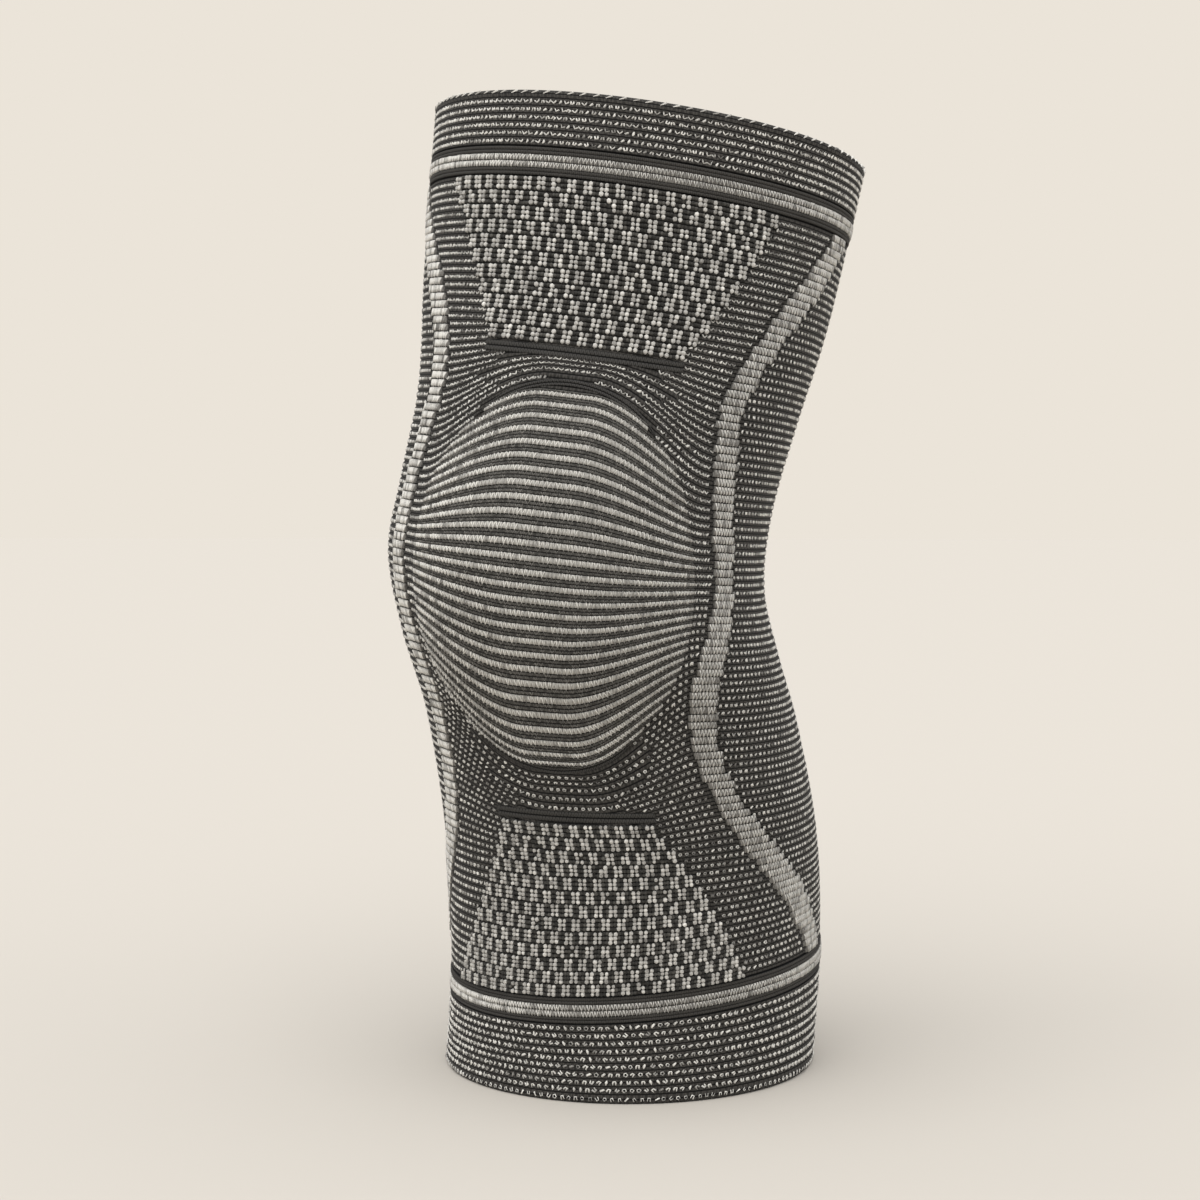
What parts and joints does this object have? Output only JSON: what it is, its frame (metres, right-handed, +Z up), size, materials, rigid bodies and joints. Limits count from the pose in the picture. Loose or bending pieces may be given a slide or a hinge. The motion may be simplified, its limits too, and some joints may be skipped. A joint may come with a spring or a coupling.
{
  "type": "knee sleeve",
  "caption": "Seamless knitted knee sleeve: a bent elastic tube with a ribbed oval dome over the kneecap, side stripes, patterned front panels and banded cuffs.",
  "frame": {"origin": "on the floor under the middle of the box of the whole sleeve, level with the calf opening it stands on", "axes": "+Z up from the calf opening to the thigh opening; -Y is the front, where the knee bows forward; +X is to the right of the front as it is looked at"},
  "size_m": [0.1346, 0.1802, 0.297],
  "materials": {
    "mesh_knit": "matte elastic knit of light loops over dark cords",
    "light_knit": "matte light grey elastic knit",
    "dark_knit": "matte charcoal elastic cord",
    "patterned_knit": "matte charcoal knit with light raised clusters",
    "banded_knit": "matte light and charcoal cords laid in pairs",
    "cuff_knit": "matte charcoal elastic knit with rows of light dashes"
  },
  "bodies": {
    "root": {"thigh_panel": "patterned_knit", "shin_panel": "patterned_knit", "thigh_welt": "dark_knit", "shin_welt": "dark_knit", "kneecap_upper_welt": "dark_knit", "kneecap_lower_welt": "dark_knit", "front_knit": "mesh_knit", "back_knit": "mesh_knit", "right_stripe": "light_knit", "left_stripe": "light_knit", "kneecap_panel": "light_knit", "calf_cuff": "cuff_knit", "calf_band": "banded_knit", "thigh_band": "banded_knit", "thigh_cuff": "cuff_knit"}
  },
  "joints": []
}
